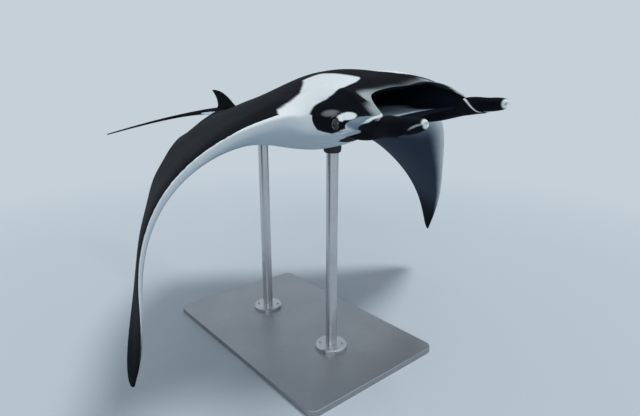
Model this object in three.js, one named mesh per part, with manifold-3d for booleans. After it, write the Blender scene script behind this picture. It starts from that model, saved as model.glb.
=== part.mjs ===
// Manta ray (Mobula birostris) gliding with both wings down, on a display stand.
// Millimetres, +Z up, head toward -Y, the animal's left toward +X.
// Origin: middle of the underside of the stand base.
import * as THREE from 'three';
import { mergeVertices } from 'three/addons/utils/BufferGeometryUtils.js';
import Module from 'manifold-3d';

const wasm = await Module();
wasm.setup();

// Driving dimensions ---------------------------------------------------------
const DISC_WIDTH = 4500; // wing tip to wing tip along the spread skin
const GAP = 0.3; // clearance between neighbouring solids
const NOSE_UP = THREE.MathUtils.degToRad(4.45);
const BANK = THREE.MathUtils.degToRad(5.27); // right wing low
const BODY_HEIGHT = 1750; // front of the head above the floor
const STAND_CENTRE = 0.245; // middle of the stand behind the front of the head
const BASE_LENGTH = 1700;
const BASE_WIDTH = 1100;
const BASE_THICK = 40;
const ROD_RADIUS = 38;
const ROD_SPACING = 780;
const ROD_SINK = 45; // how far a rod reaches into the belly
const FLANGE_RADIUS = 110;
const FLANGE_THICK = 24;
const CHAMFER = 6;
const FLANGE_FOOT = BASE_THICK + GAP;
const FLANGE_TOP = FLANGE_FOOT + FLANGE_THICK;
const ROD_FOOT = FLANGE_TOP + GAP;
const SLAB_CORNER = 60;
const SLAB_BEVEL = 3;

// Everything about the animal is in disc widths: l to its left, f forward, h up.
const HALF_SPAN = 0.5;
const ROOT_L = 0.1; // where the wing leaves the head
const ROOT_F = 0.088;
const FAIR_L = 0.118; // where the head side has run into the leading edge
const SWEEP = 0.153;
const SWEEP_POWER = 1.5;
const REAR_F = 0.454;
const TRAIL_POWER = 0.613;
const LEAD_STEP = 0.01; // how far the leading edge starts behind its curve at the head
const REAR_TURN = [0.085, 0.125]; // the wing's trailing edge takes over from REAR_EDGE between these
const REAR_EDGE = [[0, -0.45], [0.03, -0.443], [0.052, -0.458], [0.07, -0.46], [0.09, -0.447], [0.12, -0.41]];
const TIP_CHORD = 0.006;
const EDGE_HALF = 0.0007; // half thickness of the trailing edge
const V_MOUTH = 0.16; // share of the leading outline taken by the mouth
const V_ROOT = 0.34; // and by mouth and head side together
const WING_CUTS = [0.125, 0.235, 0.355]; // where the wing is parted
const NECK_F = -0.135; // where head and trunk are parted

// Rows are [l, upper half thickness] and so on; curve() runs smoothly through them.
const WING_UP = [[0, 0.017], [0.1, 0.018], [0.15, 0.0148], [0.2, 0.0108], [0.25, 0.0076],
  [0.3, 0.0055], [0.4, 0.0036], [0.5, 0.002]];
const WING_DOWN = [[0, 0.02], [0.1, 0.025], [0.15, 0.0225], [0.2, 0.0185], [0.25, 0.0155],
  [0.3, 0.011], [0.35, 0.006], [0.4, 0.0038], [0.5, 0.002]];
const BACK = [[-0.46, 0.003], [-0.42, 0.004], [-0.36, 0.008], [-0.28, 0.018], [-0.2, 0.034],
  [-0.16, 0.0365], [-0.12, 0.0355], [-0.07, 0.031], [-0.03, 0.0205]];
const BELLY = [[-0.46, 0.002], [-0.42, 0.009], [-0.36, 0.026], [-0.28, 0.044], [-0.2, 0.05],
  [-0.165, 0.0468], [-0.13, 0.0385], [-0.095, 0.0325], [-0.06, 0.026], [-0.03, 0.0205]];
const BACK_SPREAD = 0.09;
const BELLY_SPREAD = 0.12;
const HEAD_HALF = 0.105; // where back and belly of the head would meet
const HEAD_TOP = 0.6; // the head is rounded above
const HEAD_UNDER = 0.12; // and nearly flat below, out to its sides
const HEAD_END = [0.045, 0.14]; // the head's cross section passes into the trunk's between these
const REAR_THINNING = 0.7; // share of the chord from which back and belly run out
// Rounding of the front edge against v: depth of the rounding, and 0.5 for blunt to 1 for sloping.
const EDGE_OVER = [[0, 0.03, 1], [0.15, 0.05, 1], [0.178, 0.065, 1], [0.215, 0.06, 0.75], [0.26, 0.04, 0.5],
  [0.34, 0.03, 0.5], [0.5, 0.02, 0.5], [1, 0.008, 0.5]];
const EDGE_UNDER = [[0, 0.03, 1], [0.15, 0.03, 1], [0.178, 0.018, 0.6], [0.21, 0.013, 0.5],
  [0.26, 0.013, 0.5], [0.34, 0.03, 0.5], [0.5, 0.02, 0.5], [1, 0.008, 0.5]];
const INWARD = 0.036; // how far the lines that run back from the head side turn inwards
const INWARD_FADE = 0.06; // share of the chord over which they do
const CHEEK = [0.2, 0.25]; // v from which they do so fully, and from which less again
// Mouth rims: [share from middle to corner, l, f, h].
const UPPER_LIP = [[0, 0, -0.03, 0.0183], [0.35, 0.026, -0.033, 0.019], [0.7, 0.054, -0.031, 0.0161],
  [0.88, 0.0665, -0.017, 0.0094], [1, 0.074, 0.002, -0.0065]];
const LOWER_LIP = [[0, 0, -0.02, -0.0172], [0.35, 0.026, -0.021, -0.0175], [0.65, 0.05, -0.017, -0.0178],
  [0.85, 0.0655, -0.009, -0.0172], [0.95, 0.072, -0.002, -0.0135], [1, 0.074, 0.002, -0.0085]];
// Head side from mouth corner to wing root: [share, l, f, h].
const HEAD_SIDE = [[0, 0.074, 0.002, -0.0073], [0.14, 0.086, -0.002, -0.011], [0.36, 0.0945, -0.028, -0.013],
  [0.52, 0.096, -0.052, -0.0125], [0.76, 0.096, -0.08, -0.0085], [0.88, 0.102, -0.095, -0.0042],
  [1, FAIR_L, -0.1015, 0]];

// How each wing is carried: bend against span, twist and droop of the rear edge against l.
const RIGHT_WING = {
  side: -1,
  bend: [[0, 0], [0.12, 0.095], [0.35, 0.4415], [0.7, 1.37], [1, 1.24]],
  twist: [[0.08, 0], [0.14, -0.1], [0.2, -0.21], [0.3, -0.345], [0.4, -0.27], [0.5, 0.12]],
  droop: [[0.03, 0], [0.08, 0.026], [0.12, 0.013], [0.16, 0.006], [0.25, 0], [0.5, 0]],
  sweep: -0.0455,
};
const LEFT_WING = {
  side: 1,
  bend: [[0, 0], [0.12, 0.2636], [0.35, 0.8452], [0.7, 0.912], [1, 1.3489]],
  twist: [[0.08, 0], [0.2, 0.061], [0.3, 0.267], [0.4, 0.394], [0.5, 0.48]],
  droop: [[0.03, 0], [0.5, 0]],
  sweep: 0.046,
};

// Cephalic lobes rolled into horns: [share, f, l, h, half width, half height].
const RIGHT_LOBE = [[0, -0.055, 0.064, -0.0215, 0.007, 0.009], [0.25, -0.015, 0.069, -0.0186, 0.0104, 0.0108],
  [0.5, 0.014, 0.0775, -0.016, 0.0098, 0.0115], [0.72, 0.036, 0.083, -0.0155, 0.0086, 0.011],
  [0.88, 0.052, 0.0862, -0.014, 0.0072, 0.0086], [1, 0.0645, 0.0882, -0.012, 0.0054, 0.0058]];
const LEFT_LOBE = [[0, -0.055, 0.064, -0.0215, 0.007, 0.009], [0.25, -0.015, 0.069, -0.0172, 0.0108, 0.0106],
  [0.5, 0.014, 0.0715, -0.0154, 0.0098, 0.0109], [0.72, 0.036, 0.0655, -0.0149, 0.0088, 0.0098],
  [0.88, 0.05, 0.0587, -0.0138, 0.0078, 0.0085], [1, 0.062, 0.053, -0.0128, 0.0062, 0.0065]];
const EYE = { f: -0.05, l: 0.0898, h: -0.011, radius: 0.0078 };
const MOUTH_DEPTH = 0.1;
const LIP_THICK = 0.0035;
const THROAT = 0.45; // how much narrower the mouth is at its far end
const MOUTH_WIDE = 0.955; // share of the lips' width that is open
const CHEEK_CLEAR = 0.1; // share by which the mouth narrows at once behind the lips
const CHEEK_DEPTH = 0.2; // and the share of its depth it does so over
const MOUTH_LEAST = 0.0006; // half height of the opening at its corners
const MOUTH_STEPS = 8; // facets from the middle of the mouth to its corner
const LOBE_RINGS = 10;
const LOBE_SIDES = 12;
const LOBE_ROUND = 0.88; // share of a lobe from which its end is rounded off
const TAIL_RINGS = 24;
const TAIL_SIDES = 10;
const TAIL_FLATNESS = 0.85; // height of the tail against its width

// Tail: [f, l, h, half width], from inside the trunk to the end of the whip.
const TAIL = [[-0.425, 0, -0.003, 0.0105], [-0.46, 0, -0.002, 0.0092], [-0.52, -0.001, -0.0015, 0.0062],
  [-0.6, -0.008, -0.005, 0.0042], [-0.7, -0.024, -0.013, 0.0031], [-0.82, -0.05, -0.026, 0.0024],
  [-0.925, -0.076, -0.039, 0.0016]];
const TAIL_CUTS = [-0.53, -0.7];
// Dorsal fin outline in f and h, and the pelvic fin outline in l and f.
const DORSAL = [[-0.402, -0.003], [-0.413, 0.004], [-0.43, 0.0165], [-0.448, 0.0275], [-0.467, 0.035],
  [-0.488, 0.0375], [-0.484, 0.03], [-0.476, 0.02], [-0.476, 0.012], [-0.487, 0.005], [-0.475, 0.001],
  [-0.45, -0.003]];
const DORSAL_HALF = 0.0028;
const PELVIC = [[0.012, -0.425], [0.038, -0.425], [0.043, -0.455], [0.038, -0.484], [0.028, -0.49],
  [0.018, -0.468]];
const PELVIC_HALF = 0.0022;
const SOCKET_GROWTH = 200; // outline growth of a fin's socket for each unit of clearance

// Small tools ----------------------------------------------------------------
const { clamp, lerp } = THREE.MathUtils;

function smooth(x, a, b) {
  const t = clamp((x - a) / (b - a), 0, 1);
  return t * t * (3 - 2 * t);
}

/** Smooth curve through rows of [x, values...]; the end values hold beyond the ends. */
function curve(x, rows) {
  const last = rows.length - 1;
  const at = clamp(x, rows[0][0], rows[last][0]);
  let i = 0;
  while (i < last - 1 && at > rows[i + 1][0]) {
    i += 1;
  }
  const slope = (k, c) => {
    const a = rows[Math.max(k - 1, 0)];
    const b = rows[Math.min(k + 1, last)];
    return (b[c] - a[c]) / (b[0] - a[0]);
  };
  const d = rows[i + 1][0] - rows[i][0];
  const t = (at - rows[i][0]) / d;
  const values = [];
  for (let c = 1; c < rows[0].length; c += 1) {
    values.push((2 * t ** 3 - 3 * t ** 2 + 1) * rows[i][c] + (t ** 3 - 2 * t ** 2 + t) * d * slope(i, c)
      + (3 * t ** 2 - 2 * t ** 3) * rows[i + 1][c] + (t ** 3 - t ** 2) * d * slope(i + 1, c));
  }
  return values;
}

function solid(geometry) {
  geometry.deleteAttribute('normal');
  geometry.deleteAttribute('uv');
  const merged = mergeVertices(geometry, 1e-3);
  const index = Array.from(merged.index.array);
  const triangles = [];
  for (let i = 0; i < index.length; i += 3) {
    const [a, b, c] = index.slice(i, i + 3);
    if (a !== b && b !== c && c !== a) {
      triangles.push(a, b, c);
    }
  }
  return new wasm.Manifold(new wasm.Mesh({
    numProp: 3,
    vertProperties: new Float32Array(merged.attributes.position.array),
    triVerts: new Uint32Array(triangles),
  }));
}

/** Closed skin over rings of [f, l, h] points in disc widths; the two end rings are capped. */
function loft(rings) {
  const count = rings[0].length;
  const points = rings.flat().flatMap(([f, l, h]) => [l * DISC_WIDTH, -f * DISC_WIDTH, h * DISC_WIDTH]);
  const faces = [];
  for (let j = 0; j < rings.length - 1; j += 1) {
    for (let k = 0; k < count; k += 1) {
      const a = j * count + k;
      const b = j * count + (k + 1) % count;
      faces.push(a, b, b + count, a, b + count, a + count);
    }
  }
  const end = (rings.length - 1) * count;
  for (let k = 0; k < count / 2 - 1; k += 1) {
    const m = count - 1 - k;
    faces.push(k, m, k + 1, k + 1, m, m - 1);
    faces.push(end + k, end + k + 1, end + m, end + k + 1, end + m - 1, end + m);
  }
  const geometry = new THREE.BufferGeometry();
  geometry.setAttribute('position', new THREE.Float32BufferAttribute(points, 3));
  geometry.setIndex(faces);
  const made = solid(geometry);
  return made.volume() < 0 ? solid(flipped(geometry)) : made;
}

function flipped(geometry) {
  const index = Array.from(geometry.index.array);
  for (let i = 0; i < index.length; i += 3) {
    [index[i], index[i + 1]] = [index[i + 1], index[i]];
  }
  geometry.setIndex(index);
  return geometry;
}

// The disc spread flat -------------------------------------------------------
const span = (l) => clamp((l - ROOT_L) / (HALF_SPAN - ROOT_L), 0, 1);

function leadF(l, sweep = 0) {
  const u = span(l);
  return -ROOT_F - (SWEEP + sweep) * u ** SWEEP_POWER - LEAD_STEP * (1 - smooth(u, 0, 0.25));
}

function trailF(l, sweep = 0) {
  const u = span(l);
  const wing = -REAR_F + (REAR_F - ROOT_F - SWEEP - sweep - TIP_CHORD) * u ** TRAIL_POWER
    - 0.05 * u ** 8 * Math.sqrt(1 - u);
  return lerp(curve(l, REAR_EDGE)[0], wing, smooth(l, ...REAR_TURN));
}

/** Point of the leading outline, v from the middle of the mouth (0) to the wing tip (1). */
function lead(v, up) {
  if (v <= V_MOUTH) {
    return curve(v / V_MOUTH, up > 0 ? UPPER_LIP : LOWER_LIP);
  }
  if (v <= V_ROOT) {
    return curve((v - V_MOUTH) / (V_ROOT - V_MOUTH), HEAD_SIDE);
  }
  const l = lerp(FAIR_L, HALF_SPAN, (v - V_ROOT) / (1 - V_ROOT));
  return [l, leadF(l), 0];
}

function trail(v) {
  const l = v < V_ROOT ? FAIR_L * v / V_ROOT : lerp(FAIR_L, HALF_SPAN, (v - V_ROOT) / (1 - V_ROOT));
  return [l, trailF(l)];
}

const section = (w) => (0.2969 * Math.sqrt(w) - 0.126 * w - 0.3516 * w ** 2 + 0.2843 * w ** 3
  - 0.1015 * w ** 4) / 0.2;

/** Skin of the flat disc: w from leading (0) to trailing edge (1), up is 1 or -1. */
function discPoint(v, w, up) {
  const [l0, f0, h0] = lead(v, up);
  const [l1, f1] = trail(v);
  const cheek = Math.min(v / CHEEK[0], 1) * (1 - smooth(v, CHEEK[1], V_ROOT));
  const l = lerp(l0, l1, w) - INWARD * cheek * (1 - Math.exp(-w / INWARD_FADE)) * (1 - w) ** 2;
  const f = lerp(f0, f1, w);
  const head = 1 - smooth(-f, ...HEAD_END);
  const spread = (1 + (l / (up > 0 ? BACK_SPREAD : BELLY_SPREAD)) ** 2) ** -1.5;
  const fall = Math.max(1 - (l / HEAD_HALF) ** 2, 0) ** (up > 0 ? HEAD_TOP : HEAD_UNDER);
  const across = lerp(spread, fall, head);
  const rise = curve(f, up > 0 ? BACK : BELLY)[0] * across;
  const [reach, slope] = curve(v, up > 0 ? EDGE_OVER : EDGE_UNDER);
  const round = clamp(reach / Math.hypot(l0 - l1, f0 - f1), 0, 0.5);
  const edge = (1 - (1 - clamp(w / round, 0, 1)) ** 2) ** slope;
  const wing = curve(l, up > 0 ? WING_UP : WING_DOWN)[0] * section(w) * (1 - head);
  const depth = wing + rise * edge * (1 - smooth(w, REAR_THINNING, 1)) + EDGE_HALF * smooth(w, 0, 0.2);
  return [f, l, h0 * (1 - edge) + up * depth];
}

// The wings carried down -----------------------------------------------------
const ARC_STEPS = 256;
const BEND_START = 0.05; // no bending nearer the middle than this
const PIVOT = 0.3; // share of the chord about which a wing twists

function bendTable(wing) {
  const table = [{ l: 0, h: 0, angle: 0 }];
  const step = HALF_SPAN / ARC_STEPS;
  for (let i = 1; i <= ARC_STEPS; i += 1) {
    const share = clamp((i * step - BEND_START) / (HALF_SPAN - BEND_START), 0, 1);
    const angle = curve(share, wing.bend)[0];
    const middle = (angle + table[i - 1].angle) / 2;
    table.push({
      l: table[i - 1].l + Math.cos(middle) * step,
      h: table[i - 1].h - Math.sin(middle) * step,
      angle,
    });
  }
  return table;
}

function bendAt(wing, l) {
  const at = clamp(l / HALF_SPAN, 0, 1) * ARC_STEPS;
  const i = Math.min(Math.floor(at), ARC_STEPS - 1);
  const [a, b] = [wing.table[i], wing.table[i + 1]];
  return {
    l: lerp(a.l, b.l, at - i),
    h: lerp(a.h, b.h, at - i),
    angle: lerp(a.angle, b.angle, at - i),
  };
}

RIGHT_WING.table = bendTable(RIGHT_WING);
LEFT_WING.table = bendTable(LEFT_WING);

/** Carries a point of the flat disc to where the swimming animal has it. */
function carried(wing, [f, l, h]) {
  const bend = bendAt(wing, l);
  const swept = f - wing.sweep * span(l) ** SWEEP_POWER;
  const front = leadF(l, wing.sweep);
  const rear = trailF(l, wing.sweep);
  const pivot = lerp(front, rear, PIVOT);
  const behind = pivot - swept;
  const twist = curve(l, wing.twist)[0];
  const droop = curve(l, wing.droop)[0] * clamp(behind / Math.max(pivot - rear, 0.001), 0, 1.2) ** 2;
  const lift = h * Math.cos(twist) + behind * Math.sin(twist) - droop;
  return [pivot - behind * Math.cos(twist), wing.side * (bend.l + lift * Math.sin(bend.angle)),
    bend.h + lift * Math.cos(bend.angle)];
}

// Solids ---------------------------------------------------------------------
const V_STEPS = [0, 0.035, 0.07, 0.1, 0.13, 0.16, 0.175, 0.2, 0.23, 0.26, 0.29, 0.315, 0.34, 0.38, 0.42, 0.46,
  0.5, 0.54, 0.58, 0.62, 0.66, 0.7, 0.74, 0.78, 0.82, 0.86, 0.9, 0.94, 0.97, 0.99, 1];
const W_STEPS = [0, 0.008, 0.025, 0.06, 0.11, 0.18, 0.27, 0.38, 0.5, 0.64, 0.78, 0.9, 1];

function discRing(wing, v) {
  const upper = W_STEPS.map((w) => carried(wing, discPoint(v, w, 1)));
  const lower = W_STEPS.map((w) => carried(wing, discPoint(v, w, -1)));
  return [...upper, ...lower.reverse()];
}

function disc() {
  const right = V_STEPS.slice(1).reverse().map((v) => discRing(RIGHT_WING, v));
  const left = V_STEPS.map((v) => discRing(LEFT_WING, v));
  return loft([...right, ...left]);
}

/** Hollow of the open mouth, from in front of the lips to the throat. */
function mouth() {
  const rings = [];
  for (const back of [-0.35, 0, 0.2, 0.45, 0.7, 1]) {
    const shrink = 1 - THROAT * Math.max(back, 0) ** 2;
    const wide = MOUTH_WIDE * shrink - CHEEK_CLEAR * clamp(back / CHEEK_DEPTH, 0, 1);
    const rim = (k, up) => {
      const share = Math.abs(k) / MOUTH_STEPS;
      const [l, f, high] = curve(share, UPPER_LIP);
      const low = curve(share, LOWER_LIP)[2];
      const half = Math.max((high - low) / 2 - LIP_THICK, MOUTH_LEAST) * shrink;
      return [f - back * MOUTH_DEPTH, Math.sign(k) * l * wide, (high + low) / 2 + up * half];
    };
    const ring = [];
    for (let k = -MOUTH_STEPS; k <= MOUTH_STEPS; k += 1) {
      ring.push(rim(k, 1));
    }
    for (let k = MOUTH_STEPS; k >= -MOUTH_STEPS; k -= 1) {
      ring.push(rim(k, -1));
    }
    rings.push(ring);
  }
  return loft(rings);
}

/** Horn along rows of [share, f, l, h, half width, half height] on one side. */
function lobe(rows, side, grow) {
  const rings = [];
  for (let i = 0; i <= LOBE_RINGS; i += 1) {
    const t = i / LOBE_RINGS;
    const [f, l, h, wide, high] = curve(t, rows);
    const end = Math.sqrt(1 - clamp((t - LOBE_ROUND) / (1.01 - LOBE_ROUND), 0, 1) ** 2);
    const ring = [];
    for (let k = 0; k < LOBE_SIDES; k += 1) {
      const a = 2 * Math.PI * (k + 0.5) / LOBE_SIDES;
      ring.push([f - (i === 0 ? grow : 0), side * (l + (wide * end + grow) * Math.cos(a)),
        h + (high * end + grow) * Math.sin(a)]);
    }
    rings.push(ring);
  }
  return loft(rings);
}

function tail(grow) {
  const rings = [];
  for (let i = 0; i <= TAIL_RINGS; i += 1) {
    const f = lerp(TAIL[0][0] + grow, TAIL.at(-1)[0], i / TAIL_RINGS);
    const [l, h, half] = curve(-f, TAIL.map(([a, b, c, d]) => [-a, b, c, d]));
    const ring = [];
    for (let k = 0; k < TAIL_SIDES; k += 1) {
      const a = 2 * Math.PI * (k + 0.5) / TAIL_SIDES;
      ring.push([f, l + (half + grow) * Math.cos(a), h + (TAIL_FLATNESS * half + grow) * Math.sin(a)]);
    }
    rings.push(ring);
  }
  return loft(rings);
}

/**
 * Flat fin from an outline of [a, b] pairs; place() turns a, b and the side offset into a point.
 * A grown one, for its socket, is thicker and has its outline a little larger about its middle.
 */
function fin(outline, half, grow, place) {
  const corners = outline.map(([a, b]) => new THREE.Vector2(a, b));
  const centre = corners.reduce((sum, corner) => sum.add(corner), new THREE.Vector2());
  centre.divideScalar(corners.length);
  const size = 1 + SOCKET_GROWTH * grow;
  const shape = new THREE.Shape(corners.map((corner) => corner.sub(centre).multiplyScalar(size).add(centre)));
  const geometry = new THREE.ExtrudeGeometry(shape, { depth: 2 * (half + grow), bevelEnabled: false });
  const position = geometry.attributes.position;
  for (let i = 0; i < position.count; i += 1) {
    const [f, l, h] = place(position.getX(i), position.getY(i), position.getZ(i) - half - grow);
    position.setXYZ(i, l * DISC_WIDTH, -f * DISC_WIDTH, h * DISC_WIDTH);
  }
  const made = solid(geometry);
  return made.volume() < 0 ? solid(flipped(mergeVertices(geometry, 1e-3))) : made;
}

function ball(side, grow) {
  const radius = EYE.radius * DISC_WIDTH + grow;
  const geometry = new THREE.SphereGeometry(radius, 16, 10);
  geometry.translate(side * EYE.l * DISC_WIDTH, -EYE.f * DISC_WIDTH, EYE.h * DISC_WIDTH);
  return solid(geometry);
}

const grown = 1.5 * GAP / DISC_WIDTH; // facets meet at angles, so sockets take a little more
const dorsal = (grow) => fin(DORSAL, DORSAL_HALF, grow, (a, b, c) => [a, c, b]);
const pelvic = (side, grow) => fin(PELVIC, PELVIC_HALF, grow, (a, b, c) => [b, side * a, c + 0.001]);

/** Body turned round the vertical at y, from a profile of [radius, height] pairs in stand axes. */
function turned(y, profile) {
  const geometry = new THREE.LatheGeometry(profile.map(([r, z]) => new THREE.Vector2(r, z)), 24);
  geometry.rotateX(Math.PI / 2);
  geometry.translate(0, y, 0);
  return solid(geometry);
}

/** Stand rod from its flange to height top. */
function rod(y, top, grow) {
  const radius = ROD_RADIUS + grow;
  return turned(y, [[0, ROD_FOOT], [radius, ROD_FOOT], [radius, top + grow], [0, top + grow]]);
}

/** Plane square across a wing where it is parted at l, facing the tip. */
function wingPlane(wing, l) {
  const { l: out, h: up, angle } = bendAt(wing, l);
  const normal = [wing.side * Math.cos(angle), 0, -Math.sin(angle)];
  return { normal, offset: (normal[0] * wing.side * out + normal[2] * up) * DISC_WIDTH };
}

function beyond(body, { normal, offset }) {
  return body.trimByPlane(normal, offset + GAP / 2);
}

function before(body, { normal, offset }) {
  return body.trimByPlane(normal.map((n) => -n), -offset + GAP / 2);
}

// Parting the animal ---------------------------------------------------------
const pieces = {};
let middle = disc();
for (const [name, wing] of [['right', RIGHT_WING], ['left', LEFT_WING]]) {
  const cuts = WING_CUTS.map((l) => wingPlane(wing, l));
  const whole = beyond(middle, cuts[0]);
  middle = before(middle, cuts[0]);
  pieces[`wing_${name}_inner`] = before(whole, cuts[1]);
  pieces[`wing_${name}_middle`] = before(beyond(whole, cuts[1]), cuts[2]);
  pieces[`wing_${name}_tip`] = beyond(whole, cuts[2]);
}

const neck = { normal: [0, 1, 0], offset: -NECK_F * DISC_WIDTH };
pieces.head = before(middle, neck)
  .subtract(mouth())
  .subtract(lobe(RIGHT_LOBE, -1, grown))
  .subtract(lobe(LEFT_LOBE, 1, grown))
  .subtract(ball(-1, 1.5 * GAP))
  .subtract(ball(1, 1.5 * GAP));
pieces.trunk = beyond(middle, neck)
  .subtract(tail(grown))
  .subtract(dorsal(grown))
  .subtract(pelvic(-1, grown))
  .subtract(pelvic(1, grown));
pieces.lobe_right = lobe(RIGHT_LOBE, -1, 0);
pieces.lobe_left = lobe(LEFT_LOBE, 1, 0);
pieces.eye_right = ball(-1, 0);
pieces.eye_left = ball(1, 0);
const fins = { dorsal_fin: dorsal(0), pelvic_fin_right: pelvic(-1, 0), pelvic_fin_left: pelvic(1, 0) };
for (const [name, made] of Object.entries(fins)) {
  pieces[name] = made.subtract(tail(grown));
}
const [tailBase, tailMiddle] = TAIL_CUTS.map((f) => ({ normal: [0, 1, 0], offset: -f * DISC_WIDTH }));
pieces.tail_base = before(tail(0), tailBase);
pieces.tail_middle = before(beyond(tail(0), tailBase), tailMiddle);
pieces.tail_whip = beyond(tail(0), tailMiddle);

// From the animal's own axes to the stand's: nose up, right wing low, over the base.
const forward = new THREE.Vector3(0, -Math.cos(NOSE_UP), Math.sin(NOSE_UP));
const left = new THREE.Vector3(Math.cos(BANK), Math.sin(BANK) * Math.sin(NOSE_UP),
  Math.sin(BANK) * Math.cos(NOSE_UP));
const upward = new THREE.Vector3().crossVectors(forward, left);
const placing = new THREE.Matrix4().makeBasis(left, forward.clone().negate(), upward);
placing.setPosition(0, -STAND_CENTRE * DISC_WIDTH, BODY_HEIGHT);
for (const name of Object.keys(pieces)) {
  pieces[name] = pieces[name].transform(placing.elements);
}

// The stand ------------------------------------------------------------------
for (const [place, y] of [['front', -ROD_SPACING / 2], ['rear', ROD_SPACING / 2]]) {
  const column = rod(y, BODY_HEIGHT, 0).intersect(pieces.trunk);
  const top = column.boundingBox().min[2] + ROD_SINK;
  pieces.trunk = pieces.trunk.subtract(rod(y, top, GAP));
  pieces[`stand_rod_${place}`] = rod(y, top, 0);
  pieces[`stand_flange_${place}`] = turned(y, [[0, FLANGE_FOOT], [FLANGE_RADIUS, FLANGE_FOOT],
    [FLANGE_RADIUS, FLANGE_TOP - CHAMFER], [FLANGE_RADIUS - CHAMFER, FLANGE_TOP], [0, FLANGE_TOP]]);
}
const slab = new THREE.Shape();
const [halfWide, halfLong] = [BASE_WIDTH / 2, BASE_LENGTH / 2];
const [inWide, inLong] = [halfWide - SLAB_CORNER, halfLong - SLAB_CORNER];
slab.moveTo(-inWide, -halfLong);
[[inWide, -inLong], [inWide, inLong], [-inWide, inLong], [-inWide, -inLong]].forEach(([x, y], i) => {
  slab.absarc(x, y, SLAB_CORNER, (i - 1) * Math.PI / 2, i * Math.PI / 2);
});
pieces.stand_base = solid(new THREE.ExtrudeGeometry(slab, {
  depth: BASE_THICK - 2 * SLAB_BEVEL,
  bevelEnabled: true,
  bevelThickness: SLAB_BEVEL,
  bevelSize: SLAB_BEVEL,
  bevelOffset: -SLAB_BEVEL,
  bevelSegments: 1,
  curveSegments: 4,
})).translate([0, 0, SLAB_BEVEL]);

// Meshes ---------------------------------------------------------------------
const COLOURS = { eye: 0x101014, stand: 0xb9bcc0, lobe: 0x1c1f26, tail: 0x24272e, fin: 0x24272e };
const group = new THREE.Group();
group.name = 'manta_ray';
for (const [name, made] of Object.entries(pieces)) {
  const { vertProperties, triVerts } = made.getMesh();
  const geometry = new THREE.BufferGeometry();
  geometry.setAttribute('position', new THREE.BufferAttribute(vertProperties, 3));
  geometry.setIndex(new THREE.BufferAttribute(triVerts, 1));
  geometry.computeVertexNormals();
  const kind = Object.keys(COLOURS).find((word) => name.includes(word));
  const color = kind ? COLOURS[kind] : 0x3a3f47;
  const mesh = new THREE.Mesh(geometry, new THREE.MeshStandardMaterial({ color, roughness: 0.5 }));
  mesh.name = name;
  group.add(mesh);
}

export default group;
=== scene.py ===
"""A manta ray gliding with both wings carried down, life-size, on a display stand."""
import bisect
import math
import bmesh
import bpy
from mathutils import Matrix, Vector
from mathutils.bvhtree import BVHTree

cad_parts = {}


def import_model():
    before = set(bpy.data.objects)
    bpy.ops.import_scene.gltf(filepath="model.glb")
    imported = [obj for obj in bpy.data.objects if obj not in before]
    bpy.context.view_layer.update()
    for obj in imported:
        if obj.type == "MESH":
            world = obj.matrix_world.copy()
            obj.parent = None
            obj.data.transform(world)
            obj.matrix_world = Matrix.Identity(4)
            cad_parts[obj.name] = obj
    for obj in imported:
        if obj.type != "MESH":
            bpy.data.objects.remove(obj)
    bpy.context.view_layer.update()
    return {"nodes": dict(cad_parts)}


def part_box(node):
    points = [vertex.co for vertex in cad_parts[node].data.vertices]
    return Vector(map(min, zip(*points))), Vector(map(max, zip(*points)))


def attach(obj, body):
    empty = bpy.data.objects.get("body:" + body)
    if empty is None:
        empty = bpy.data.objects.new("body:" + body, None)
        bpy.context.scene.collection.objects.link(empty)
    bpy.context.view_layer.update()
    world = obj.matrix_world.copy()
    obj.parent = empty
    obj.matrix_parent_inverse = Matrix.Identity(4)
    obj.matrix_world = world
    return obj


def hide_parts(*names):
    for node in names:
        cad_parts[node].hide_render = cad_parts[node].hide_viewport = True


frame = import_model()

# Driving dimensions, in metres and radians.
DISC_WIDTH = 4.5
NOSE_UP = math.radians(4.45)
BANK = math.radians(5.27)
BODY_HEIGHT = 1.75
STAND_CENTRE = 0.245

# The animal's own measures are in disc widths: l to its left, f forward, h up.
# Leading and trailing edges of the wings.
HALF_SPAN = 0.5
ROOT_L = 0.1
ROOT_F = 0.088
FAIR_L = 0.118
SWEEP = 0.153
SWEEP_POWER = 1.5
LEAD_STEP = 0.01
REAR_F = 0.454
REAR_TURN = (0.085, 0.125)
TRAIL_POWER = 0.613
TRAIL_FULLNESS = 0.05
TIP_CHORD = 0.006

# The leading outline: where the mouth ends and the wing begins, from 0 to 1.
V_MOUTH = 0.16
V_ROOT = 0.34

# Thickness of the trunk and head.
EDGE_HALF = 0.0007
BACK_SPREAD = 0.09
BELLY_SPREAD = 0.12
HEAD_HALF = 0.105
HEAD_TOP = 0.6
HEAD_UNDER = 0.12
HEAD_END = (0.045, 0.14)
REAR_THINNING = 0.7

# How a wing is carried: where it starts to bend, and where along a chord it twists.
BEND_START = 0.05
PIVOT = 0.3
ARC_STEPS = 256


def clamp(x, low=0.0, high=1.0):
    return min(max(x, low), high)


def lerp(a, b, t):
    return a + (b - a) * t


def smooth(x, a, b):
    t = clamp((x - a) / (b - a))
    return t * t * (3 - 2 * t)


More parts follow.
